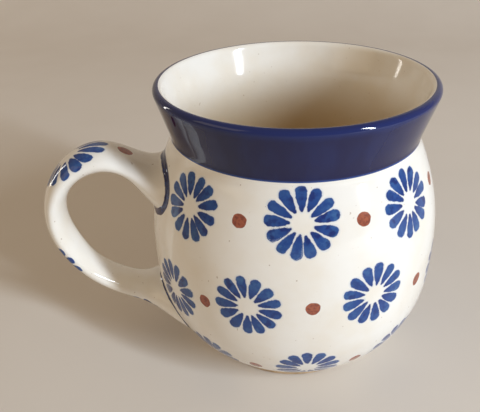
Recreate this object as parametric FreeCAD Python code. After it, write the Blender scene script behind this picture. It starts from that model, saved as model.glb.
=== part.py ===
import FreeCAD, Part
import math
import os

# A hand-stamped stoneware mug: thrown cup, luted strap handle, coloured decoration and clear glaze.
# Millimetres. +Z is up, the origin is the centre of the foot's resting plane, the handle lies along -X.
# Azimuths on the cup are in degrees from -Y, growing towards +X, so the handle is at -90.

Vector = FreeCAD.Vector
ORIGIN = Vector(0, 0, 0)
UP = Vector(0, 0, 1)

# Cup
RIM_RADIUS = 41.0
TOTAL_HEIGHT = 93.0
LIP_RADIUS = 1.45
BAND_END_ANGLE = math.radians(120)
FLARE_ANGLE = math.radians(16.5)
NECK_RADIUS = 37.3
NECK_BLEND = 6.5
SHOULDER_ANGLE = math.radians(26)
BELLY_POINTS = [(41.7, 66.0), (44.8, 54.0), (45.8, 41.0), (44.9, 27.0), (40.0, 14.5)]
WALL = 4.0
FLOOR_TOP = 8.0
FLOOR_FLAT_RADIUS = 22.0

# Foot
FOOT_RADIUS = 29.3
FOOT_HEIGHT = 3.0
FOOT_RING_WIDTH = 3.4
FOOT_BEVEL = 0.6
RECESS_DEPTH = 2.6

# Surface layers
GLAZE = 0.3
SLIP = 0.8

# Strap handle: distance from the cup's axis, height, width across and thickness at each station
HANDLE_STATIONS = [
    (37.0, 62.2, 33.6, 23.6),
    (43.3, 64.6, 24.1, 12.0),
    (50.3, 69.6, 17.4, 6.4),
    (58.5, 72.6, 16.0, 7.2),
    (67.2, 69.8, 15.8, 7.1),
    (73.6, 61.7, 16.0, 6.4),
    (75.2, 51.8, 15.2, 6.2),
    (72.5, 41.5, 13.8, 6.2),
    (67.6, 33.1, 12.2, 6.2),
    (58.4, 25.5, 12.4, 6.8),
    (48.7, 21.6, 17.0, 9.2),
    (42.7, 20.6, 28.6, 12.6),
    (33.5, 18.6, 44.0, 12.6),
]
HANDLE_SECTIONS = 23

# Stamped flowers and painted dots
FLOWER_RADIUS = 9.6
PETAL_COUNT = 13
PETAL_TIP_RADIUS = 0.33 * FLOWER_RADIUS
PETAL_ROUND = 0.165 * FLOWER_RADIUS
DOT_RADIUS = 2.0
CUP_STAMP_DEPTH = 8.0
HANDLE_STAMP_DEPTH = 8.0
SLIVER_VOLUME = 0.1
ROOT_LINE_WIDTH = 1.3

# Each row of flowers round the cup, as (azimuth, height); the rows waver as a hand sets them
UPPER_ROW = [(-54, 66.7), (-9, 68.4), (36, 67.0)] + [(81 + 45 * k, 67.0) for k in range(4)]
MIDDLE_ROW = [(-61, 37.4), (-27, 43.6), (17, 45.6), (62, 38.4)] + [(106 + 44 * k, 42.0) for k in range(4)]
LOWER_ROW = [(-48, 14.6), (-5, 18.5)] + [(36 + 43 * k, 18.0) for k in range(5)]
ROWS = [UPPER_ROW, MIDDLE_ROW, LOWER_ROW]
HANDLE_FLOWERS = [0.285, 0.585, 0.87]
HANDLE_DOTS = [0.16, 0.43, 0.73]


def in_profile(radius, height):
    """A point of the half-section, which is drawn in the XZ plane and turned about Z."""
    return Vector(radius, 0, height)


def line(start, end):
    return Part.LineSegment(start, end).toShape()


def offset_spline(curve, points, distance, first_tangent, last_tangent):
    """The smooth curve through points moved square to curve; the tangents are those of its ends."""
    moved = []
    for point in points:
        tangent = curve.tangent(curve.parameter(point))[0]
        square = Vector(tangent.z, 0, -tangent.x)
        moved.append(point + square * distance)
    return smooth_curve(moved, first_tangent, last_tangent)


def smooth_curve(points, first_tangent, last_tangent):
    curve = Part.BSplineCurve()
    curve.interpolate(Points=points, InitialTangent=first_tangent, FinalTangent=last_tangent)
    return curve


# The flared neck leans outwards along FLARE; FLARE_OUT points square to it, out of the wall.
FLARE = in_profile(math.sin(FLARE_ANGLE), math.cos(FLARE_ANGLE))
FLARE_OUT = in_profile(math.cos(FLARE_ANGLE), -math.sin(FLARE_ANGLE))
LIP_CENTRE = in_profile(RIM_RADIUS - LIP_RADIUS, TOTAL_HEIGHT - LIP_RADIUS)

# The hollow between neck and belly is an arc whose centre is outside the cup.
FLARE_TOP = LIP_CENTRE + FLARE_OUT * LIP_RADIUS
FLARE_LOW_RADIUS = NECK_RADIUS + NECK_BLEND * (1 - math.cos(FLARE_ANGLE))
FLARE_LENGTH = (FLARE_TOP.x - FLARE_LOW_RADIUS) / math.sin(FLARE_ANGLE)
FLARE_LOW = FLARE_TOP - FLARE * FLARE_LENGTH
NECK_HEIGHT = FLARE_LOW.z - NECK_BLEND * math.sin(FLARE_ANGLE)
NECK_CENTRE = in_profile(NECK_RADIUS + NECK_BLEND, NECK_HEIGHT)
SHOULDER = in_profile(math.sin(SHOULDER_ANGLE), -math.cos(SHOULDER_ANGLE))
FOOT_TANGENT = in_profile(-0.72, -0.70)
FLOOR_TANGENT = in_profile(-1, 0)


def neck_point(angle, inset):
    """A point of the neck's hollow, at an angle above its narrowest place."""
    reach = NECK_BLEND + inset
    return NECK_CENTRE + in_profile(-math.cos(angle) * reach, math.sin(angle) * reach)


def neck_arc(start, end, inset):
    middle = (start + end) / 2
    return Part.Arc(neck_point(start, inset), neck_point(middle, inset), neck_point(end, inset)).toShape()


def lip_point(angle, inset):
    """A point of the half-round lip, at an angle from its outer edge over the top to its inner edge."""
    radius = LIP_RADIUS - inset
    return LIP_CENTRE + FLARE_OUT * (math.cos(angle) * radius) + FLARE * (math.sin(angle) * radius)


def lip_arc(start, end, inset):
    middle = (start + end) / 2
    return Part.Arc(lip_point(start, inset), lip_point(middle, inset), lip_point(end, inset)).toShape()


def flare_edges(inset):
    """The outside of the neck, from its narrowest place up to the lip."""
    low = neck_point(FLARE_ANGLE, inset)
    return [neck_arc(0, FLARE_ANGLE, inset), line(low, lip_point(0, inset))]


def belly_edges(inset):
    """The outside of the belly, from the neck's narrowest place down to the foot."""
    points = [neck_point(-SHOULDER_ANGLE, 0)]
    points += [in_profile(radius, height) for radius, height in BELLY_POINTS]
    points.append(in_profile(FOOT_RADIUS, FOOT_HEIGHT))
    finished = smooth_curve(points, SHOULDER, FOOT_TANGENT)
    moved = offset_spline(finished, points, inset, SHOULDER, FOOT_TANGENT)
    return [neck_arc(0, -SHOULDER_ANGLE, inset), moved.toShape()]


def inside_edges(inset):
    """The inside of the cup, from the lip's inner edge to the middle of the floor."""
    edge = lip_point(math.pi, 0)
    points = [edge, edge - FLARE * 0.85 * FLARE_LENGTH]
    points += [in_profile(radius - WALL, height) for radius, height in BELLY_POINTS[:-1]]
    points.append(in_profile(FOOT_RADIUS + 4.5, FLOOR_TOP + 5.0))
    points.append(in_profile(FLOOR_FLAT_RADIUS, FLOOR_TOP))
    finished = smooth_curve(points, -FLARE, FLOOR_TANGENT)
    moved = offset_spline(finished, points, -inset, -FLARE, FLOOR_TANGENT)
    floor_height = FLOOR_TOP - inset
    return [moved.toShape(), line(in_profile(FLOOR_FLAT_RADIUS, floor_height), in_profile(0, floor_height))]


def first_point(edges):
    return edges[0].valueAt(edges[0].FirstParameter)


def last_point(edges):
    return edges[-1].valueAt(edges[-1].LastParameter)


def turned(edges):
    """The solid made by turning a closed half-section about the cup's axis."""
    face = Part.Face(Part.Wire(Part.__sortEdges__(edges)))
    return face.revolve(ORIGIN, UP, 360)


def joined(groups):
    """Everything in several groups, in one list."""
    return [edge for group in groups for edge in group]


def foot_edges():
    """The unglazed foot ring and its recess, from the belly's end to the middle of the recess."""
    corners = [last_point(belly_edges(GLAZE))]
    foot_side = corners[0].x
    ring_inside = foot_side - FOOT_RING_WIDTH
    corners.append(in_profile(foot_side, FOOT_BEVEL))
    corners.append(in_profile(foot_side - FOOT_BEVEL, 0))
    corners.append(in_profile(ring_inside + FOOT_BEVEL, 0))
    corners.append(in_profile(ring_inside, FOOT_BEVEL))
    corners.append(in_profile(ring_inside, RECESS_DEPTH))
    corners.append(in_profile(0, RECESS_DEPTH))
    return [line(start, end) for start, end in zip(corners, corners[1:])]


def cup_clay():
    """The thrown cup: wall, half-round lip, floor and foot ring, without its surface layers."""
    foot = foot_edges()
    inside = inside_edges(GLAZE)
    axis = line(last_point(foot), last_point(inside))
    lip = lip_arc(0, math.pi, GLAZE)
    return turned(joined([flare_edges(GLAZE), belly_edges(GLAZE), [lip], inside, foot, [axis]]))


def cup_form(inset):
    """The cup's outside as a full solid, smaller by inset, for trimming what meets the cup."""
    flare = flare_edges(inset)
    belly = belly_edges(inset)
    top = last_point(flare)
    bottom = last_point(belly)
    top_centre = in_profile(0, top.z)
    bottom_centre = in_profile(0, bottom.z)
    closing = [line(top, top_centre), line(top_centre, bottom_centre), line(bottom_centre, bottom)]
    return turned(joined([flare, belly, closing]))


def turned_layer(finished, clay):
    """The thin solid between a finished surface and the clay under it."""
    closing = [line(first_point(finished), first_point(clay)), line(last_point(finished), last_point(clay))]
    return turned(joined([finished, clay, closing]))


def cobalt_band():
    """The blue layer that covers the flared neck and goes just over the top of the lip."""
    finished, clay = [flare_edges(inset) + [lip_arc(0, BAND_END_ANGLE, inset)] for inset in (0, GLAZE)]
    return turned_layer(finished, clay)


def belly_skin():
    """The clear layer on the belly, before anything is inlaid in it."""
    return turned_layer(belly_edges(0), belly_edges(GLAZE))


def liner_glaze():
    """The clear layer inside the cup, from the blue layer's end on the lip to the floor."""
    finished, clay = [[lip_arc(BAND_END_ANGLE, math.pi, inset)] + inside_edges(inset) for inset in (0, GLAZE)]
    return turned_layer(finished, clay)


def recess_glaze():
    """The clear layer under the floor, inside the foot ring."""
    radius = last_point(belly_edges(GLAZE)).x - FOOT_RING_WIDTH
    return Part.makeCylinder(radius, GLAZE, Vector(0, 0, RECESS_DEPTH - GLAZE))


def handle_curves():
    """The handle's middle line, and its width and thickness as a curve on the same parameter."""
    middle = Part.BSplineCurve()
    middle.interpolate([Vector(-reach, 0, height) for reach, height, _, _ in HANDLE_STATIONS])
    knots = [middle.parameter(Vector(-reach, 0, height)) for reach, height, _, _ in HANDLE_STATIONS]
    sizes = Part.BSplineCurve()
    size_points = [Vector(width, thickness, 0) for _, _, width, thickness in HANDLE_STATIONS]
    sizes.interpolate(Points=size_points, Parameters=knots)
    return middle, sizes


def handle_form(inset):
    """The strap handle as a smooth solid whose ends are buried in the cup's wall."""
    middle, sizes = handle_curves()
    sections = []
    for index in range(HANDLE_SECTIONS):
        share = index / (HANDLE_SECTIONS - 1)
        parameter = middle.FirstParameter + share * (middle.LastParameter - middle.FirstParameter)
        centre = middle.value(parameter)
        size = sizes.value(parameter)
        tangent = middle.tangent(parameter)[0]
        across = Vector(0, size.x / 2 - inset, 0)
        through = Vector(tangent.z, 0, -tangent.x) * (size.y / 2 - inset)
        ellipse = Part.Ellipse(centre + across, centre + through, centre)
        sections.append(Part.Wire([ellipse.toShape()]))
    return Part.makeLoft(sections, True, False)


def handle_frame(share):
    """A place on the handle's outer face: the point, the outward normal and the way along."""
    middle, sizes = handle_curves()
    parameter = middle.FirstParameter + share * (middle.LastParameter - middle.FirstParameter)
    tangent = middle.tangent(parameter)[0]
    outward = Vector(tangent.z, 0, -tangent.x)
    return middle.value(parameter) + outward * (sizes.value(parameter).y / 2), outward, tangent


def cup_frame(azimuth, height):
    """A place on the cup's outside: the point, the outward normal and the way up the wall."""
    spline = belly_edges(0)[1]
    level = Part.Plane(Vector(0, 0, height), UP)
    point = spline.Curve.intersect(level)[0][0]
    here = in_profile(point.X, point.Z)
    tangent = spline.Curve.tangent(spline.Curve.parameter(here))[0]
    turn = FreeCAD.Rotation(UP, azimuth - 90)
    return turn.multVec(here), turn.multVec(Vector(-tangent.z, 0, tangent.x)), turn.multVec(-tangent)


def petal_outline(angle):
    """One teardrop petal in the stamp's plane: pointed towards the middle, round outside."""
    centre_reach = FLOWER_RADIUS - PETAL_ROUND
    spread = math.asin(PETAL_ROUND / (centre_reach - PETAL_TIP_RADIUS))
    turn = FreeCAD.Rotation(UP, math.degrees(angle))
    tip = Vector(PETAL_TIP_RADIUS, 0, 0)
    centre = Vector(centre_reach, 0, 0)
    side = Vector(-math.sin(spread), math.cos(spread), 0) * PETAL_ROUND
    other_side = Vector(side.x, -side.y, 0)
    crown = Vector(FLOWER_RADIUS, 0, 0)
    tip, left, right, crown = [turn.multVec(v) for v in (tip, centre + side, centre + other_side, crown)]
    return [line(tip, left), Part.Arc(left, crown, right).toShape(), line(right, tip)]


def stamp_prisms(frame, flat_faces, depth):
    """Flat faces drawn in the XY plane, set on a surface frame and pushed through its skin."""
    point, normal, along = frame
    placement = FreeCAD.Placement(point, FreeCAD.Rotation(along.cross(normal), along, normal, "ZXY"))
    prisms = []
    for flat_face in flat_faces:
        prism = flat_face.translated(Vector(0, 0, -depth / 2)).extrude(Vector(0, 0, depth))
        prisms.append(prism.transformed(placement.toMatrix()))
    return Part.makeCompound(prisms)


def flower_faces():
    angles = [2 * math.pi * index / PETAL_COUNT for index in range(PETAL_COUNT)]
    return [Part.Face(Part.Wire(petal_outline(angle))) for angle in angles]


def dot_faces():
    return [Part.Face(Part.Wire([Part.Circle(ORIGIN, UP, DOT_RADIUS).toShape()]))]


def between(places):
    """The places midway between neighbouring stamps of a row."""
    return [tuple((a + b) / 2 for a, b in zip(left, right)) for left, right in zip(places, places[1:])]


def turned_copies(shape, azimuths):
    return [shape.rotated(ORIGIN, UP, azimuth) for azimuth in azimuths]


def print_cup(skin, flat_faces, places):
    """The prints at some (azimuth, height) places, and the prisms that clear their places in the skin."""
    prints = []
    prisms = []
    for height in sorted({height for _, height in places}):
        prism = stamp_prisms(cup_frame(0, height), flat_faces, CUP_STAMP_DEPTH)
        azimuths = [azimuth for azimuth, level in places if level == height]
        prints += turned_copies(skin.common(prism), azimuths)
        prisms += turned_copies(prism, azimuths)
    return prints, prisms


def print_handle(skin, flat_faces, shares):
    prisms = [stamp_prisms(handle_frame(share), flat_faces, HANDLE_STAMP_DEPTH) for share in shares]
    return [skin.common(prism) for prism in prisms], prisms


def whole_prints(shapes):
    """The solids of the prints, without the slivers left where a petal only grazes the handle's side."""
    return [solid for shape in shapes for solid in shape.Solids if solid.Volume > SLIVER_VOLUME]


def save(name, solids):
    Part.makeCompound(solids).exportStep("parts/" + name + ".step")


def build():
    os.makedirs("parts", exist_ok=True)
    cup = cup_clay()
    clay_form = cup_form(GLAZE)
    slip_form = cup_form(GLAZE - SLIP)
    whole_handle = handle_form(0)
    handle_core = handle_form(GLAZE)

    # The handle's clay stops at the slip; the slip fills what is left down to the cup's clay.
    handle_clay = handle_core.cut(slip_form)
    slip = handle_core.common(slip_form.cut(clay_form))
    upper_slip, lower_slip = sorted(slip.Solids, key=lambda solid: -solid.CenterOfMass.z)
    handle_skin = whole_handle.cut(handle_core).cut(clay_form)

    # Prints and brush lines are inlaid in the clear layer, which is cleared to take them.
    skin = belly_skin()
    lined_handle = handle_form(-ROOT_LINE_WIDTH)
    root_lines = skin.common(lined_handle).cut(whole_handle)
    cup_flowers, cup_flower_prisms = print_cup(skin, flower_faces(), joined(ROWS))
    cup_dots, cup_dot_prisms = print_cup(skin, dot_faces(), joined([between(row) for row in ROWS]))
    handle_flowers, handle_flower_prisms = print_handle(handle_skin, flower_faces(), HANDLE_FLOWERS)
    handle_dots, handle_dot_prisms = print_handle(handle_skin, dot_faces(), HANDLE_DOTS)
    belly_glaze = skin.cut(lined_handle).cut(cup_flower_prisms + cup_dot_prisms)
    handle_glaze = handle_skin.cut(handle_flower_prisms + handle_dot_prisms)

    save("cup_body", [cup])
    save("strap_handle", handle_clay.Solids)
    save("upper_slip_joint", [upper_slip])
    save("lower_slip_joint", [lower_slip])
    save("cobalt_rim_band", [cobalt_band()])
    save("stamped_flowers", whole_prints(cup_flowers + handle_flowers))
    save("painted_dots", whole_prints(cup_dots + handle_dots))
    save("handle_root_lines", root_lines.Solids)
    save("belly_glaze", belly_glaze.Solids)
    save("handle_glaze", handle_glaze.Solids)
    save("liner_glaze", [liner_glaze()])
    save("foot_recess_glaze", [recess_glaze()])


build()
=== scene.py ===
import math

import bmesh
import bpy
import numpy as np
from mathutils import Matrix, Vector


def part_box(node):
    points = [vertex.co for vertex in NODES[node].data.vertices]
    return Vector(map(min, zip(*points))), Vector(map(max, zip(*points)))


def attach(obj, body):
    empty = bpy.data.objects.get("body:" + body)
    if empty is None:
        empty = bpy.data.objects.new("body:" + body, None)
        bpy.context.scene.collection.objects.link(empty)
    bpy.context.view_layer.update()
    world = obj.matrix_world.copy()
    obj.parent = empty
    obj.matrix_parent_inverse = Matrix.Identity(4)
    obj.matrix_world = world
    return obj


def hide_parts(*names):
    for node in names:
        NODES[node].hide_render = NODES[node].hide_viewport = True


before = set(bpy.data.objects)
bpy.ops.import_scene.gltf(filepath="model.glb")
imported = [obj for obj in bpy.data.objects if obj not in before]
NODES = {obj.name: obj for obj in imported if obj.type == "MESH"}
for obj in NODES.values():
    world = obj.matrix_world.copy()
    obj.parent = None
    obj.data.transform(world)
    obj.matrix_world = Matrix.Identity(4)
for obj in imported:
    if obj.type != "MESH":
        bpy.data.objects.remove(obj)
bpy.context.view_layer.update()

# A hand-stamped stoneware mug. Metres, +Z up, the origin at the centre of the foot's resting plane and
# the handle along -X. Azimuths round the cup are in degrees from -Y, growing towards +X.
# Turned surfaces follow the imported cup's outline; the decoration is colour under one clear glaze.

MM = 0.001
TAU = 2 * math.pi

# Places read from the frame
RIM_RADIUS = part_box("cobalt_rim_band")[1][0]
RIM_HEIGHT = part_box("cobalt_rim_band")[1][2]
NECK_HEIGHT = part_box("cobalt_rim_band")[0][2]
LINER_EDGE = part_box("liner_glaze")[1][2]
LINER_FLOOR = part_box("liner_glaze")[0][2]
BELLY_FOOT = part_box("belly_glaze")[0][2]
GLAZE = RIM_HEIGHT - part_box("cup_body")[1][2]

# How finely surfaces are divided: the outline's points, every how many of them a coat keeps on its seen
# side and on its hidden one, and the steps round the axis
OUTLINE_SPACING = 0.16 * MM
BELLY_STRIDE = 3
BAND_STRIDE = 1
LINER_STRIDE = 4
HIDDEN_STRIDE = 20
ROUND_STEPS = 360

# The strap handle's stations as shares of the rim's radius: reach from the axis, height above the foot,
# width across and thickness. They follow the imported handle, whose ends are buried in the wall.
HANDLE_STATIONS = [
    (0.902, 1.517, 0.820, 0.576),
    (1.056, 1.576, 0.588, 0.304),
    (1.227, 1.698, 0.424, 0.156),
    (1.427, 1.771, 0.390, 0.176),
    (1.639, 1.702, 0.385, 0.173),
    (1.795, 1.505, 0.390, 0.156),
    (1.834, 1.263, 0.371, 0.151),
    (1.768, 1.012, 0.337, 0.151),
    (1.649, 0.807, 0.298, 0.151),
    (1.424, 0.622, 0.302, 0.166),
    (1.188, 0.527, 0.415, 0.224),
    (1.041, 0.502, 0.698, 0.307),
    (0.817, 0.454, 1.110, 0.307),
]
HANDLE_RINGS = 220
HANDLE_SIDES = 96

# The rounded joint where the handle meets the wall: its radius, the stretch of the strap that has finer
# rings and their number, how deep its edge and the ends behind it are buried, and the least slope at
# which it leaves the wall
FILLET = 1.75 * MM
FILLET_SPAN = 1.5 * FILLET
FILLET_RINGS = 12
SEAM_DEPTH = 0.01 * MM
END_DEPTH = 1.0 * MM
LEAST_SLOPE = 0.3

# Stamps: sizes, and each row's flowers as (azimuth, height as a share of the rim's height)
FLOWER_RADIUS = 9.6 * MM
DOT_RADIUS = 2.0 * MM
PETALS = 13
UPPER_ROW = [(-54, 0.717), (-9, 0.735), (36, 0.720)]
UPPER_ROW += [(81 + 45 * k, 0.720) for k in range(4)]
MIDDLE_ROW = [(-61, 0.402), (-27, 0.469), (17, 0.490), (62, 0.413)]
MIDDLE_ROW += [(106 + 44 * k, 0.452) for k in range(4)]
LOWER_ROW = [(-48, 0.157), (-5, 0.199)]
LOWER_ROW += [(36 + 43 * k, 0.194) for k in range(5)]
STAMP_ROWS = [UPPER_ROW, MIDDLE_ROW, LOWER_ROW]

# The handle's stamps as shares of its length from the upper root. They press its outside only: not the
# inner face, where the cosine of the angle round the strap is under the limit.
HANDLE_FLOWERS = [0.285, 0.585, 0.87]
HANDLE_DOTS = [0.16, 0.43, 0.73]
INNER_FACE_LIMIT = -0.85

# A distance in metres that stands for "nowhere near"
FAR_OFF = 1.0


# --- curves ---------------------------------------------------------------------------------------


def cubic_through(places, values, wanted):
    """The smooth curve through (places, values), read at the wanted places."""
    gaps = np.diff(places)
    slopes = np.diff(values) / gaps
    size = len(places)
    matrix = np.eye(size)
    bends = np.zeros(size)
    for i in range(1, size - 1):
        matrix[i, i - 1:i + 2] = gaps[i - 1], 2 * (gaps[i - 1] + gaps[i]), gaps[i]
        bends[i] = 6 * (slopes[i] - slopes[i - 1])
    second = np.linalg.solve(matrix, bends)
    span = np.clip(np.searchsorted(places, wanted) - 1, 0, size - 2)
    past = wanted - places[span]
    gap = gaps[span]
    start_slope = slopes[span] - gap * (2 * second[span] + second[span + 1]) / 6
    bend = past ** 2 * second[span] / 2 + past ** 3 * (second[span + 1] - second[span]) / (6 * gap)
    return values[span] + past * start_slope + bend


def run_along(points):
    """The distance along a line of points, at each of them."""
    steps = np.linalg.norm(np.diff(points, axis=0), axis=1)
    return np.concatenate([[0], np.cumsum(steps)])


def smooth_line(points, spacing):
    """Evenly spaced points on the smooth curve through a line of points."""
    places = run_along(points)
    wanted = np.linspace(0, places[-1], int(places[-1] / spacing) + 1)
    return np.column_stack([cubic_through(places, column, wanted) for column in points.T])


def moved_out(line, distance):
    """A half-section line moved square to itself, to the left of the way it runs."""
    way = np.gradient(line, axis=0)
    way /= np.linalg.norm(way, axis=1)[:, None]
    moved = line + distance * np.column_stack([-way[:, 1], way[:, 0]])
    moved[:, 0] = np.where(line[:, 0] < OUTLINE_SPACING / 10, 0, moved[:, 0])
    return moved


# --- the cup's outline ----------------------------------------------------------------------------


def wall_points(outside):
    """The (radius, height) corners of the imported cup's outer or inner wall, from the lip down."""
    found = set()
    mesh = NODES["cup_body"].data
    lowest = BELLY_FOOT if outside else LINER_FLOOR
    least_lean = 0.001
    for face in mesh.polygons:
        spoke = Vector((face.center.x, face.center.y, 0)).normalized()
        faces_out = face.normal.dot(spoke) > least_lean
        if faces_out == outside and face.center.z > lowest - GLAZE / 2:
            for index in face.vertices:
                corner = mesh.vertices[index].co
                found.add((math.hypot(corner.x, corner.y), corner.z))
    return sorted(found, key=lambda point: (-round(point[1], 5), -point[0]))


def without_crowding(points, nearest, farthest):
    """The points with those too near their neighbour left out, and long straight gaps filled."""
    kept = [points[0]]
    for point in points[1:]:
        gap = math.dist(point, kept[-1])
        if gap > farthest:
            fill = int(gap / farthest) + 1
            start = kept[-1]
            for k in range(1, fill):
                share = k / fill
                kept.append(tuple(a + (b - a) * share for a, b in zip(start, point)))
        if gap > nearest:
            kept.append(point)
    return kept


def cup_outline():
    """The clay's outline from the middle of the floor, up over the lip and down to the foot."""
    inside = wall_points(outside=False)
    outside = wall_points(outside=True)
    points = without_crowding(inside[::-1] + outside, nearest=0.05 * MM, farthest=5 * MM)
    return smooth_line(np.array(points), OUTLINE_SPACING)


CLAY_LINE = cup_outline()
GLAZED_LINE = moved_out(CLAY_LINE, GLAZE)
LIP_TOP = int(np.argmax(GLAZED_LINE[:, 1]))
LIP_INNER = int(np.searchsorted(GLAZED_LINE[:LIP_TOP, 1], LINER_EDGE))
NECK = LIP_TOP + int(np.searchsorted(-GLAZED_LINE[LIP_TOP:, 1], -NECK_HEIGHT))


def wall_radius(height):
    """The glazed wall's outer radius at a height."""
    return np.interp(height, GLAZED_LINE[:LIP_TOP:-1, 1], GLAZED_LINE[:LIP_TOP:-1, 0])


# --- meshes ---------------------------------------------------------------------------------------


def solid_object(name, corners, faces, sharp_degrees=40):
    """A closed mesh object with outward normals, smooth except across sharp edges."""
    mesh = bpy.data.meshes.new(name)
    mesh.from_pydata(corners.tolist(), [], faces)
    shell = bmesh.new()
    shell.from_mesh(mesh)
    inside_out = shell.calc_volume(signed=True) < 0
    shell.free()
    if inside_out:
        mesh.flip_normals()
    mesh.shade_smooth()
    mesh.set_sharp_from_angle(angle=math.radians(sharp_degrees))
    thing = bpy.data.objects.new(name, mesh)
    bpy.context.scene.collection.objects.link(thing)
    return thing


def turned_object(name, section):
    """A solid turned from a half-section: a closed loop, or a line that starts and ends on the axis."""
    corners = []
    rings = []
    for radius, height in section:
        first = len(corners)
        if radius == 0:
            corners.append((0, 0, height))
            rings.append([first] * ROUND_STEPS)
        else:
            for step in range(ROUND_STEPS):
                turn = TAU * step / ROUND_STEPS
                corners.append((radius * math.sin(turn), -radius * math.cos(turn), height))
            rings.append(list(range(first, first + ROUND_STEPS)))
    followers = rings[1:] if section[0][0] == 0 else rings[1:] + rings[:1]
    faces = []
    for ring, follower in zip(rings, followers):
        for step in range(ROUND_STEPS):
            after = (step + 1) % ROUND_STEPS
            face = [ring[step], ring[after], follower[after], follower[step]]
            faces.append(list(dict.fromkeys(face)))
    return solid_object(name, np.array(corners), faces)


def skin_section(start, end, stride):
    """The closed half-section of the glaze between two places of the outline."""
    glazed = [*range(start, end, stride), end]
    hidden = [*range(end, start, -HIDDEN_STRIDE), start]
    return np.concatenate([GLAZED_LINE[glazed], CLAY_LINE[hidden]])


# --- the strap handle -----------------------------------------------------------------------------

STATIONS = np.array(HANDLE_STATIONS) * RIM_RADIUS
STATION_PLACES = run_along(STATIONS[:, :2])
HANDLE_LENGTH = STATION_PLACES[-1]


def handle_surface(place, angle):
    """Points of the handle's surface at a place along it and an angle round it, 0 being outwards."""
    sizes = [cubic_through(STATION_PLACES, column, place) for column in STATIONS.T]
    reach, height, width, thickness = sizes
    step = 0.01 * MM
    ahead_reach = cubic_through(STATION_PLACES, STATIONS[:, 0], place + step) - reach
    ahead_height = cubic_through(STATION_PLACES, STATIONS[:, 1], place + step) - height
    length = np.hypot(ahead_reach, ahead_height)
    outward = thickness / 2 * np.cos(angle)
    x = -reach + outward * ahead_height / length
    y = width / 2 * np.sin(angle)
    z = height + outward * ahead_reach / length
    return np.stack([x, y, z], axis=-1)


def outside_wall(points):
    """How far points are outside the cup's glazed wall, measured from the axis."""
    return np.hypot(points[..., 0], points[..., 1]) - wall_radius(points[..., 2])


def wall_crossing(angle, buried, free):
    """For each angle, the place between a buried and a free one where the handle leaves the wall."""
    try_count = 400
    halvings = 30
    tries = np.linspace(free, buried, try_count)
    gaps = outside_wall(handle_surface(tries[:, None] + 0 * angle, angle + 0 * tries[:, None]))
    first_buried = np.argmax(gaps < 0, axis=0)
    inner = tries[first_buried]
    outer = tries[first_buried - 1]
    for _ in range(halvings):
        middle = (inner + outer) / 2
        is_out = outside_wall(handle_surface(middle, angle)) > 0
        outer = np.where(is_out, middle, outer)
        inner = np.where(is_out, inner, middle)
    return outer


def ring_places(angle):
    """Places along the handle for every ring and angle, closer together near both seams with the wall."""
    start = wall_crossing(angle, 0, 0.4 * HANDLE_LENGTH)
    end = wall_crossing(angle, HANDLE_LENGTH, 0.6 * HANDLE_LENGTH)
    near = np.linspace(0, FILLET_SPAN, FILLET_RINGS, endpoint=False)[:, None]
    shares = np.linspace(0, 1, HANDLE_RINGS)[:, None]
    middle = (start + FILLET_SPAN) + shares * (end - start - 2 * FILLET_SPAN)
    return np.concatenate([start + near, middle, (end - near)[::-1]])


def distance_from_ends(points):
    """The distance of each point of the rings from the nearer end ring, along the strap."""
    steps = np.linalg.norm(np.diff(points, axis=0), axis=2)
    travelled = np.concatenate([np.zeros((1, HANDLE_SIDES)), np.cumsum(steps, axis=0)])
    return np.minimum(travelled, travelled[-1] - travelled)


def distance_round(points):
    """How far round the strap each point is from the middle of its outside, negative on one side."""
    steps = np.linalg.norm(np.roll(points, -1, axis=1) - points, axis=2)
    half_way = HANDLE_SIDES // 2
    first_side = np.concatenate([0 * steps[:, :1], np.cumsum(steps[:, :half_way], axis=1)], axis=1)
    return np.concatenate([first_side, -first_side[:, half_way - 1:0:-1]], axis=1)


def square_to_surface(points):
    """Unit directions outwards from the surface through rings of points."""
    along = np.gradient(points, axis=0)
    around = np.roll(points, -1, axis=1) - np.roll(points, 1, axis=1)
    square = np.cross(around, along)
    return square / np.linalg.norm(square, axis=2)[:, :, None]


def rolled_out(points, from_seam):
    """The rings with a rounded joint at each end, its edge just buried in the wall."""
    left = np.clip(1 - from_seam / FILLET, 0, 1)
    rolled = points + square_to_surface(points) * (FILLET * (1 - np.sqrt(1 - left ** 2)))[:, :, None]
    # Rolling out lifts the edge off the wall, so each end's rings are drawn back until it is buried again.
    middle = len(points) // 2
    for half, edge in ((slice(None, middle), 0), (slice(middle, None), -1)):
        excess = outside_wall(rolled[edge]) + SEAM_DEPTH
        spoke = rolled[edge, :, :2] / np.linalg.norm(rolled[edge, :, :2], axis=1)[:, None]
        rolled[half, :, :2] -= (left[half] ** 2)[:, :, None] * (excess[:, None] * spoke)
    # Where the strap runs nearly along the wall, the rings are kept from dipping under it.
    least_gap = LEAST_SLOPE * np.minimum(from_seam, FILLET) - SEAM_DEPTH
    lift = np.maximum(least_gap - outside_wall(rolled), 0)
    distance_out = np.linalg.norm(rolled[:, :, :2], axis=2)
    rolled[:, :, :2] *= (1 + lift / distance_out)[:, :, None]
    return rolled


def handle_grid():
    """The handle's visible surface as rings of points, from the upper seam with the wall to the lower.

    Also each point's place along the strap and round it, and its distance from the nearer seam.
    """
    angle = TAU * np.arange(HANDLE_SIDES) / HANDLE_SIDES
    places = ring_places(angle)
    points = handle_surface(places, angle + 0 * places)
    from_seam = distance_from_ends(points)
    return rolled_out(points, from_seam), places, distance_round(points), from_seam


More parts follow.
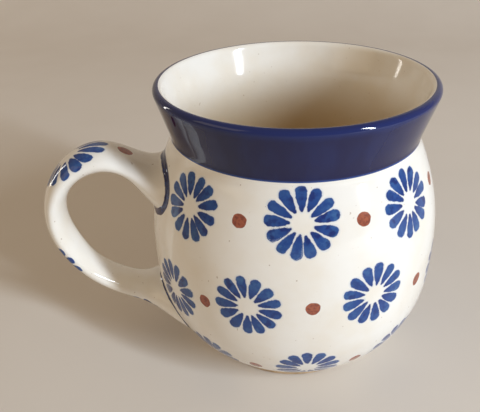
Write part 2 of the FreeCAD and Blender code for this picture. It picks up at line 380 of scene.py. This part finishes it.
def handle_object(grid):
    """The glazed handle as a solid: its visible rings, closed by ends buried in the wall."""
    inward = 1 - END_DEPTH / np.linalg.norm(grid[[0, -1], :, :2], axis=2)
    buried = grid[[0, -1]].copy()
    buried[:, :, :2] *= inward[:, :, None]
    rings = np.concatenate([buried[:1], grid, buried[1:]])
    corners = rings.reshape(-1, 3)
    ends = buried.mean(axis=1)
    faces = []
    for ring in range(len(rings) - 1):
        for side in range(HANDLE_SIDES):
            after = (side + 1) % HANDLE_SIDES
            here = ring * HANDLE_SIDES
            there = here + HANDLE_SIDES
            faces.append([here + side, here + after, there + after, there + side])
    last = (len(rings) - 1) * HANDLE_SIDES
    for side in range(HANDLE_SIDES):
        after = (side + 1) % HANDLE_SIDES
        faces.append([after, side, len(corners)])
        faces.append([last + side, last + after, len(corners) + 1])
    return solid_object("glazed_handle", np.concatenate([corners, ends]), faces, sharp_degrees=75)


# --- where the prints lie -------------------------------------------------------------------------


def store_numbers(mesh, layer, values):
    """Gives every corner of the mesh a number under the layer's name."""
    attribute = mesh.attributes.new(layer, "FLOAT", "POINT")
    attribute.data.foreach_set("value", np.asarray(values, dtype=np.float32))


def store_print_places(mesh, layer, offsets, turns, size):
    """Gives every face corner its place in the nearest stamp, in stamp radii, and the stamp's number."""
    corner_count = len(mesh.loops)
    corner_vertex = np.empty(corner_count, dtype=np.int32)
    mesh.loops.foreach_get("vertex_index", corner_vertex)
    first_corner = np.empty(len(mesh.polygons), dtype=np.int32)
    mesh.polygons.foreach_get("loop_start", first_corner)
    sides = np.diff(np.append(first_corner, corner_count))
    squares = (offsets ** 2).sum(axis=2)
    face_squares = np.add.reduceat(squares[:, corner_vertex], first_corner, axis=1)
    nearest = np.repeat(np.argmin(face_squares, axis=0), sides)
    offset = offsets[nearest, corner_vertex] / size
    cosine = np.cos(turns[nearest])
    sine = np.sin(turns[nearest])
    places = np.column_stack([
        offset[:, 0] * cosine - offset[:, 1] * sine,
        offset[:, 0] * sine + offset[:, 1] * cosine,
        nearest + 0.5,
    ])
    attribute = mesh.attributes.new(layer, "FLOAT_VECTOR", "CORNER")
    attribute.data.foreach_set("vector", places.astype(np.float32).ravel())


def hand_turns(count, seed):
    """How far each stamp was turned in the hand: any angle, the same on every run."""
    return np.random.default_rng(seed).uniform(0, TAU, count)


def cup_offsets(corners, stamps):
    """Sideways and upward distances of corners from each (azimuth, height share) stamp, along the wall."""
    outer = GLAZED_LINE[:LIP_TOP:-1]
    climbed = run_along(outer)
    radius = np.hypot(corners[:, 0], corners[:, 1])
    azimuth = np.arctan2(corners[:, 0], -corners[:, 1])
    climb = np.interp(corners[:, 2], outer[:, 1], climbed)
    offsets = []
    for stamp_azimuth, height_share in stamps:
        turn = (azimuth - math.radians(stamp_azimuth) + math.pi) % TAU - math.pi
        up = climb - np.interp(height_share * RIM_HEIGHT, outer[:, 1], climbed)
        offsets.append(np.column_stack([radius * turn, up]))
    return np.array(offsets)


def mesh_corners(mesh):
    """The mesh's corners as an array."""
    corners = np.empty(3 * len(mesh.vertices))
    mesh.vertices.foreach_get("co", corners)
    return corners.reshape(-1, 3)


def inside_loop(points, loop):
    """Which points of a plane are inside a closed loop of points, by counting the sides to their right."""
    inside = np.zeros(len(points), dtype=bool)
    tiny = 1e-12
    for (x1, y1), (x2, y2) in zip(loop, np.roll(loop, -1, axis=0)):
        spans = (points[:, 1] < y1) != (points[:, 1] < y2)
        crossing = x1 + (points[:, 1] - y1) / (y2 - y1 + tiny) * (x2 - x1)
        inside ^= spans & (points[:, 0] < crossing)
    return inside


def distance_from_seams(corners, seams):
    """The distance of every corner from the nearest seam, negative where the handle covers the wall."""
    spacing = 0.15 * MM
    nearest_square = np.full(len(corners), FAR_OFF)
    covered = np.zeros(len(corners), dtype=bool)
    for seam in seams:
        closed = np.concatenate([seam, seam[:1]])
        places = run_along(closed)
        fine = np.linspace(0, places[-1], int(places[-1] / spacing))
        for point in np.column_stack([np.interp(fine, places, column) for column in closed.T]):
            nearest_square = np.minimum(nearest_square, ((corners - point) ** 2).sum(axis=1))
        covered |= inside_loop(corners[:, 1:], seam[:, 1:])
    return np.where(covered, -1, 1) * np.sqrt(nearest_square)


def print_on_cup(belly, seams):
    """Marks on the belly where its flowers, its dots and the brush line at the seams lie."""
    corners = mesh_corners(belly.data)
    flowers = [place for row in STAMP_ROWS for place in row]
    pairs = [pair for row in STAMP_ROWS for pair in zip(row, row[1:])]
    dots = [tuple((a + b) / 2 for a, b in zip(left, right)) for left, right in pairs]
    turns = hand_turns(len(flowers), seed=4)
    store_print_places(belly.data, "flower_place", cup_offsets(corners, flowers), turns, FLOWER_RADIUS)
    turns = hand_turns(len(dots), seed=5)
    store_print_places(belly.data, "dot_place", cup_offsets(corners, dots), turns, DOT_RADIUS)
    handle_side = corners[:, 0] < 0
    from_seam = np.full(len(corners), FAR_OFF)
    from_seam[handle_side] = distance_from_seams(corners[handle_side], seams)
    store_numbers(belly.data, "from_seam", from_seam)


def print_on_handle(handle, places, places_round, from_seam):
    """Marks on the handle where its flowers, its dots and the brush line at the seams lie."""
    def whole(values):
        """Values of the grid, with those of its end rings repeated for the buried ends."""
        values = np.concatenate([values[:1], values, values[-1:]])
        return np.concatenate([values.ravel(), [values[0, 0], values[-1, 0]]])

    angle = TAU * np.arange(HANDLE_SIDES) / HANDLE_SIDES
    on_inner_face = np.cos(angle) < INNER_FACE_LIMIT
    along = whole(places + FAR_OFF * on_inner_face)
    side = whole(places_round)
    for layer, shares, size, seed in (
        ("flower_place", HANDLE_FLOWERS, FLOWER_RADIUS, 6),
        ("dot_place", HANDLE_DOTS, DOT_RADIUS, 7),
    ):
        offsets = np.array([np.column_stack([side, along - share * HANDLE_LENGTH]) for share in shares])
        store_print_places(handle.data, layer, offsets, hand_turns(len(shares), seed), size)
    store_numbers(handle.data, "from_seam", whole(from_seam))


# --- materials ------------------------------------------------------------------------------------


def linear(red, green, blue):
    """A colour given as on screen, 0 to 255, as the light it stands for."""
    def light(value):
        value /= 255
        return value / 12.92 if value <= 0.04045 else ((value + 0.055) / 1.055) ** 2.4
    return (light(red), light(green), light(blue), 1.0)


class Field:
    """A number that varies over a surface, so that shader maths reads as plain expressions."""

    def __init__(self, tree, socket):
        self.tree = tree
        self.socket = socket

    def math(self, operation, *others):
        node = self.tree.nodes.new("ShaderNodeMath")
        node.operation = operation
        for slot, value in zip(node.inputs, (self, *others)):
            if isinstance(value, Field):
                self.tree.links.new(value.socket, slot)
            else:
                slot.default_value = value
        return Field(self.tree, node.outputs[0])

    def __add__(self, other):
        return self.math("ADD", other)

    def __sub__(self, other):
        return self.math("SUBTRACT", other)

    def __mul__(self, other):
        return self.math("MULTIPLY", other)

    def __truediv__(self, other):
        return self.math("DIVIDE", other)

    def __neg__(self):
        return self.math("MULTIPLY", -1.0)

    def fade(self, low, high):
        """0 below low, 1 above high and smooth between."""
        node = self.tree.nodes.new("ShaderNodeMapRange")
        node.interpolation_type = "SMOOTHSTEP"
        node.inputs["From Min"].default_value = low
        node.inputs["From Max"].default_value = high
        self.tree.links.new(self.socket, node.inputs["Value"])
        return Field(self.tree, node.outputs["Result"])

    def choose(self, below, above, limit):
        """below where this number is under limit, and above elsewhere."""
        over = self.math("GREATER_THAN", limit)
        return below + (above - below) * over


class Surface:
    """A material whose node tree is built from fields and colours."""

    def __init__(self, name):
        self.material = bpy.data.materials.new(name)
        self.material.use_nodes = True
        self.tree = self.material.node_tree
        self.shader = self.tree.nodes["Principled BSDF"]
        geometry = self.tree.nodes.new("ShaderNodeNewGeometry")
        self.position = geometry.outputs["Position"]

    def attribute(self, name):
        node = self.tree.nodes.new("ShaderNodeAttribute")
        node.attribute_name = name
        return node

    def number(self, name):
        return Field(self.tree, self.attribute(name).outputs["Fac"])

    def parts(self, vector):
        """The three numbers of a vector or colour."""
        node = self.tree.nodes.new("ShaderNodeSeparateXYZ")
        self.tree.links.new(vector, node.inputs[0])
        return [Field(self.tree, output) for output in node.outputs]

    def noise(self, grain, detail=2.0, stretch=(1, 1, 1)):
        """Soft noise from 0 to 1 whose grain is about this size in metres."""
        scaled = self.tree.nodes.new("ShaderNodeVectorMath")
        scaled.operation = "MULTIPLY"
        scaled.inputs[1].default_value = [1 / grain / part for part in stretch]
        self.tree.links.new(self.position, scaled.inputs[0])
        node = self.tree.nodes.new("ShaderNodeTexNoise")
        node.inputs["Scale"].default_value = 1.0
        node.inputs["Detail"].default_value = detail
        self.tree.links.new(scaled.outputs[0], node.inputs["Vector"])
        return Field(self.tree, node.outputs["Fac"])

    def chances(self, number):
        """Three random numbers from 0 to 1 that depend only on the given one."""
        node = self.tree.nodes.new("ShaderNodeTexWhiteNoise")
        node.noise_dimensions = "1D"
        self.tree.links.new(number.socket, node.inputs["W"])
        return self.parts(node.outputs["Color"])

    def mix(self, share, start, end):
        """The colour between start, where share is 0, and end, where it is 1."""
        node = self.tree.nodes.new("ShaderNodeMix")
        node.data_type = "RGBA"
        self.tree.links.new(share.socket, node.inputs["Factor"])
        for slot, colour in (("A", start), ("B", end)):
            inlet = next(i for i in node.inputs if i.name == slot and i.type == "RGBA")
            if isinstance(colour, tuple):
                inlet.default_value = colour
            else:
                self.tree.links.new(colour, inlet)
        return next(o for o in node.outputs if o.type == "RGBA")

    def finish(self, colour, roughness, height=None):
        """Joins a colour, a roughness and a relief in millimetres to the shader."""
        self.tree.links.new(colour, self.shader.inputs["Base Color"])
        if isinstance(roughness, Field):
            self.tree.links.new(roughness.socket, self.shader.inputs["Roughness"])
        else:
            self.shader.inputs["Roughness"].default_value = roughness
        self.shader.inputs["IOR"].default_value = 1.5
        if height is not None:
            bump = self.tree.nodes.new("ShaderNodeBump")
            bump.inputs["Distance"].default_value = MM
            self.tree.links.new(height.socket, bump.inputs["Height"])
            self.tree.links.new(bump.outputs["Normal"], self.shader.inputs["Normal"])
        return self.material


CREAM = linear(243, 240, 234)
CREAM_WARM = linear(238, 231, 219)
# Painted shade: the warm tan that the inside of the cup is drawn with towards its bottom
CREAM_PAINTED_SHADE = linear(222, 196, 150)
SPECK = linear(150, 118, 88)
BLUE_HALO = linear(196, 208, 226)
COBALT_DEEP = linear(22, 38, 104)
COBALT = linear(33, 70, 138)
COBALT_LIGHT = linear(60, 102, 156)
BAND_DARK = linear(17, 22, 70)
BAND_BLUE = linear(26, 42, 98)
BAND_EDGE = linear(44, 84, 160)
LINE_DARK = linear(24, 34, 84)
RUST = linear(162, 80, 50)
RUST_DARK = linear(124, 50, 32)
CLAY = linear(196, 170, 136)
CLAY_DARK = linear(160, 132, 100)


def glaze_colour(surface):
    """Clear glaze over the warm cream body, a little uneven, with a few fine specks."""
    uneven = surface.noise(14 * MM, detail=3.0)
    colour = surface.mix(uneven.fade(0.35, 0.75), CREAM, CREAM_WARM)
    specks = surface.noise(1.1 * MM, detail=1.0).fade(0.76, 0.79)
    return surface.mix(specks * 0.5, colour, SPECK)


def glaze_relief(surface):
    """The slight waviness of a fired glaze coat, in millimetres."""
    broad_waves = surface.noise(9 * MM, detail=1.0) * 0.05
    fine_waves = surface.noise(1.6 * MM, detail=1.0) * 0.003
    return broad_waves + fine_waves


def petal_distance(surface, place):
    """The distance outside the nearest petal and how far along it from its tip, with its chances.

    A petal is a teardrop on a spoke of the flower, in flower radii: a small round tip towards the middle,
    a large round end, and slightly swollen sides between them. Chance turns it by a part of the spokes'
    spacing and varies where its tip starts, how wide it ends and how far out it reaches.
    """
    sideways, upward, stamp = surface.parts(place)
    radius = (sideways * sideways + upward * upward).math("SQRT")
    turn = upward.math("ARCTAN2", sideways) * (PETALS / TAU)
    petal = turn.math("ROUND")
    number = petal.math("FLOORED_MODULO", float(PETALS))
    shape_seed = number + stamp * 3.0
    lean, fullness, reach = surface.chances(shape_seed)
    angle = (turn - petal - (lean - 0.5) * 0.14) * (TAU / PETALS)
    across = (radius * angle.math("SINE")).math("ABSOLUTE")
    tip = reach * 0.06 + 0.31
    ahead = radius * angle.math("COSINE") - tip
    tip_round = 0.036
    end_round = fullness * 0.02 + 0.147
    length = -tip - end_round + lean * 0.04 + 0.98
    slant = (-end_round + tip_round) / length
    straight = (slant * slant * -1.0 + 1.0).math("SQRT")
    along = (ahead * straight - across * slant) / (straight * length)
    swell = (along * (along * -1.0 + 1.0)).math("MAXIMUM", 0.0) * 0.11
    end_ahead = ahead - length
    at_tip = (across * across + ahead * ahead).math("SQRT") - tip_round
    at_side = across * straight + ahead * slant - tip_round - swell
    at_end = (across * across + end_ahead * end_ahead).math("SQRT") - end_round
    distance = along.choose(at_tip, along.choose(at_side, at_end, 1.0), 0.0)
    ink_seed = number + stamp * 17.0
    return distance, along, surface.chances(ink_seed)


def print_flowers(surface, ground):
    """Stamped cobalt petals, darker at their tips and where the colour pooled, thin towards their ends."""
    place = surface.attribute("flower_place").outputs["Vector"]
    distance, along, (weight, pooling, _) = petal_distance(surface, place)
    ragged = (surface.noise(0.9 * MM, detail=2.0) - 0.5) * 0.05 + (surface.noise(2.6 * MM) - 0.5) * 0.06
    edge = distance + ragged
    covered = edge.fade(-0.012, 0.012) * -1.0 + 1.0
    halo = distance.fade(0.0, 0.07) * -1.0 + 1.0
    cloudy = surface.noise(1.5 * MM, detail=3.0)
    thin = along.fade(0.2, 1.1) * cloudy.fade(0.3, 0.7) * (weight * 0.75 + 0.25)
    deepened = surface.noise(2.2 * MM, detail=2.0).fade(0.5, 0.66) * (pooling * 0.9)
    at_tip = along.fade(-0.1, 0.5) * -0.75 + 0.75
    ink = surface.mix(thin, COBALT, COBALT_LIGHT)
    ink = surface.mix(at_tip * (pooling * 0.6 + 0.4), ink, COBALT_DEEP)
    ink = surface.mix(deepened, ink, COBALT_DEEP)
    return surface.mix(covered, surface.mix(halo * 0.45, ground, BLUE_HALO), ink)


def print_dots(surface, ground):
    """Rust dots set with a brush end: nearly round, mottled, darker where the colour pooled."""
    sideways, upward, _ = surface.parts(surface.attribute("dot_place").outputs["Vector"])
    radius = (sideways * sideways + upward * upward * 0.9).math("SQRT")
    ragged = (surface.noise(1.6 * MM, detail=2.0) - 0.5) * 0.3
    covered = (radius + ragged).fade(0.93, 1.0) * -1.0 + 1.0
    mottled = surface.noise(0.8 * MM, detail=3.0).fade(0.38, 0.66)
    ink = surface.mix(mottled, RUST, RUST_DARK)
    return surface.mix(covered * 0.96, ground, ink)


def paint_root_lines(surface, ground, upper_reach, lower_reach):
    """The brush line round the handle's roots, covering the given reaches from the upper and lower seams.

    At its very top the upper line takes the lower line's reach.
    """
    height = surface.parts(surface.position)[2]
    on_upper = height.fade(0.56 * RIM_HEIGHT, 0.66 * RIM_HEIGHT)
    below_top = height.fade(0.81 * RIM_HEIGHT, 0.74 * RIM_HEIGHT)
    reach = on_upper * below_top * (upper_reach - lower_reach) + lower_reach
    uneven = (surface.noise(3.5 * MM, detail=3.0) - 0.5) * (0.7 * MM)
    covered = (surface.number("from_seam") + uneven - reach).fade(-0.1 * MM, 0.1 * MM) * -1.0 + 1.0
    brushed = surface.noise(1.0 * MM, detail=3.0).fade(0.5, 0.7)
    ink = surface.mix(brushed * 0.6, LINE_DARK, COBALT)
    return surface.mix(covered, ground, ink)


def printed_glaze(name, upper_reach, lower_reach):
    """The decorated outside of the cup or of the handle, with its share of the brush line at the roots."""
    surface = Surface(name)
    colour = print_dots(surface, print_flowers(surface, glaze_colour(surface)))
    colour = paint_root_lines(surface, colour, upper_reach, lower_reach)
    return surface.finish(colour, roughness=0.09, height=glaze_relief(surface))


def band_glaze():
    """Deep cobalt over the neck and lip: brighter where it thins on the lip and along its lower edge."""
    surface = Surface("cobalt_band_glaze")
    height = surface.parts(surface.position)[2]
    wavy = (surface.noise(7 * MM, detail=1.0) - 0.5) * (0.8 * MM)
    on_lip = (height + wavy).fade(RIM_HEIGHT - 3.2 * MM, RIM_HEIGHT - 1.0 * MM)
    at_edge = (height + wavy * 0.3).fade(NECK_HEIGHT, NECK_HEIGHT + 0.6 * MM) * -1.0 + 1.0
    brushed = surface.noise(6 * MM, detail=3.0, stretch=(1, 1, 3)).fade(0.4, 0.75)
    colour = surface.mix(brushed * 0.35, BAND_DARK, BAND_BLUE)
    colour = surface.mix(on_lip * 0.85, colour, BAND_BLUE)
    colour = surface.mix(at_edge * 0.7, colour, BAND_EDGE)
    return surface.finish(colour, roughness=0.06, height=glaze_relief(surface))


def plain_glaze():
    """The undecorated glaze inside the cup and under its foot, with painted shade: warmer and darker
    towards the bottom.
    """
    surface = Surface("liner_clear_glaze")
    height = surface.parts(surface.position)[2]
    # Painted shade: the inside is drawn warmer and darker lower down, standing in for shade and warm
    # bounced light
    deepened = height.fade(RIM_HEIGHT, 0.6 * RIM_HEIGHT)
    colour = surface.mix(deepened * 0.85, glaze_colour(surface), CREAM_PAINTED_SHADE)
    return surface.finish(colour, roughness=0.1, height=glaze_relief(surface))


def bare_clay(name, colour, dark):
    """Unglazed fired stoneware: matt and slightly sandy."""
    surface = Surface(name)
    grain = surface.noise(0.5 * MM, detail=4.0)
    tint = surface.mix(surface.noise(5 * MM, detail=3.0).fade(0.35, 0.7), colour, dark)
    return surface.finish(tint, roughness=grain * 0.2 + 0.7, height=grain * 0.06)


def set_material(thing, material):
    """Gives the whole object one material."""
    thing.data.materials.clear()
    thing.data.materials.append(material)


# --- the mug --------------------------------------------------------------------------------------


def build_mug():
    """The glazed surfaces that are seen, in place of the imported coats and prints."""
    belly = turned_object("glazed_belly", skin_section(NECK, len(GLAZED_LINE) - 1, BELLY_STRIDE))
    band = turned_object("glazed_rim_band", skin_section(LIP_INNER, NECK, BAND_STRIDE))
    liner = turned_object("glazed_inside", skin_section(0, LIP_INNER, LINER_STRIDE))
    grid, places, places_round, from_seam = handle_grid()
    handle = handle_object(grid)
    print_on_cup(belly, [grid[0], grid[-1]])
    print_on_handle(handle, places, places_round, from_seam)

    on_belly = printed_glaze("printed_belly_glaze", upper_reach=0.5 * MM, lower_reach=0.7 * MM)
    set_material(belly, on_belly)
    on_handle = printed_glaze("printed_handle_glaze", upper_reach=1.0 * MM, lower_reach=1.0 * MM)
    set_material(handle, on_handle)
    set_material(band, band_glaze())
    set_material(liner, plain_glaze())

    for piece, slot in (
        (belly, "clear_glaze"),
        (handle, "clear_glaze"),
        (liner, "clear_glaze"),
        (band, "cobalt_band"),
    ):
        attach(piece, "root")
    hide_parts("belly_glaze", "stamped_flowers", "painted_dots", "handle_root_lines")
    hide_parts("handle_glaze")
    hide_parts("cobalt_rim_band")
    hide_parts("liner_glaze")


def finish_clay():
    """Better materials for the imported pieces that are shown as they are."""
    clay = bare_clay("fired_stoneware", CLAY, CLAY_DARK)
    for node in ("cup_body", "strap_handle", "upper_slip_joint", "lower_slip_joint"):
        set_material(NODES[node], clay)
    set_material(NODES["foot_recess_glaze"], plain_glaze())


# --- the studio -----------------------------------------------------------------------------------

# The camera's azimuth, its distance from the axis and its rise over the lip; the point it looks at, to the
# left of the axis (right is positive) and below the lip; its roll in degrees; its lens in millimetres
CAMERA_AZIMUTH = -13
CAMERA_DISTANCE = 3.635 * RIM_RADIUS
CAMERA_RISE = 1.146 * RIM_RADIUS
AIM_SIDE = -0.418 * RIM_RADIUS
AIM_DROP = 1.075 * RIM_RADIUS
CAMERA_ROLL = -2.12
LIP_LEVEL = RIM_HEIGHT - 0.018 * RIM_RADIUS
SENSOR_WIDTH = 36
FOCAL_LENGTH = 39
NEAREST_SEEN = 5 * MM


def from_camera_front(azimuth, distance, height):
    """A point at an azimuth from the way the camera stands, to its right, at a distance and height."""
    turn = math.radians(CAMERA_AZIMUTH + azimuth)
    return Vector((distance * math.sin(turn), -distance * math.cos(turn), height))


def place_camera():
    """The camera at the photo's viewing angle, tilted a little as it was held."""
    data = bpy.data.cameras.new("camera")
    data.sensor_width = SENSOR_WIDTH
    data.lens = FOCAL_LENGTH
    data.clip_start = NEAREST_SEEN
    camera = bpy.data.objects.new("camera", data)
    eye = from_camera_front(0, CAMERA_DISTANCE, LIP_LEVEL + CAMERA_RISE)
    aim = from_camera_front(90, AIM_SIDE, LIP_LEVEL - AIM_DROP)
    camera.location = eye
    look = (aim - eye).to_track_quat("-Z", "Y").to_matrix().to_4x4()
    roll = Matrix.Rotation(math.radians(CAMERA_ROLL), 4, "Z")
    camera.rotation_euler = (look @ roll).to_euler()
    bpy.context.scene.collection.objects.link(camera)
    bpy.context.scene.camera = camera


def add_softbox(name, place, size, power, colour):
    """A soft rectangular light, width by height, aimed at the mug from (azimuth, distance, height)."""
    data = bpy.data.lights.new(name, "AREA")
    data.shape = "RECTANGLE"
    data.size, data.size_y = size
    data.energy = power
    data.color = colour
    lamp = bpy.data.objects.new(name, data)
    lamp.location = from_camera_front(*place)
    mug_middle = Vector((0, 0, 50 * MM))
    lamp.rotation_euler = (mug_middle - lamp.location).to_track_quat("-Z", "Y").to_euler()
    bpy.context.scene.collection.objects.link(lamp)


def build_stage():
    """A pale floor that curves up into a backdrop."""
    size = 1.6
    rise = 0.8
    bend = 0.35
    bend_steps = 12
    back = 0.75
    profile = [(-size, 0.0), (back - bend, 0.0)]
    for k in range(1, bend_steps + 1):
        angle = math.pi / 2 * k / bend_steps
        profile.append((back - bend + bend * math.sin(angle), bend - bend * math.cos(angle)))
    profile.append((back, rise))
    turn = math.radians(CAMERA_AZIMUTH)
    away = Vector((-math.sin(turn), math.cos(turn), 0))
    side = Vector((math.cos(turn), math.sin(turn), 0))
    corners = []
    for depth, height in profile:
        for edge in (-size, size):
            corners.append(away * depth + side * edge + Vector((0, 0, height)))
    faces = [[2 * k, 2 * k + 1, 2 * k + 3, 2 * k + 2] for k in range(len(profile) - 1)]
    mesh = bpy.data.meshes.new("floor")
    mesh.from_pydata(corners, [], faces)
    mesh.shade_smooth()
    floor = bpy.data.objects.new("floor", mesh)
    bpy.context.scene.collection.objects.link(floor)
    surface = Surface("pale_floor")
    tint = surface.mix(surface.noise(60 * MM, detail=2.0), linear(226, 219, 211), linear(219, 211, 202))
    set_material(floor, surface.finish(tint, roughness=0.8))


def light_studio():
    """A warm room all round, a tall cool window at the right, and weaker lights at the left and behind."""
    world = bpy.data.worlds.new("studio")
    world.use_nodes = True
    background = world.node_tree.nodes["Background"]
    background.inputs["Color"].default_value = linear(241, 216, 184)
    background.inputs["Strength"].default_value = 0.38
    bpy.context.scene.world = world
    add_softbox("key", place=(58, 0.9, 0.42), size=(0.07, 0.52), power=8.6, colour=(0.86, 0.97, 1.08))
    add_softbox("fill", place=(-60, 1.0, 0.6), size=(0.8, 0.6), power=1.2, colour=(1.0, 0.84, 0.62))
    add_softbox("strip", place=(-112, 0.8, 0.16), size=(0.035, 0.4), power=0.5, colour=(1.0, 0.96, 0.9))


build_mug()
finish_clay()
build_stage()
light_studio()
place_camera()
bpy.context.scene.view_settings.view_transform = "Standard"
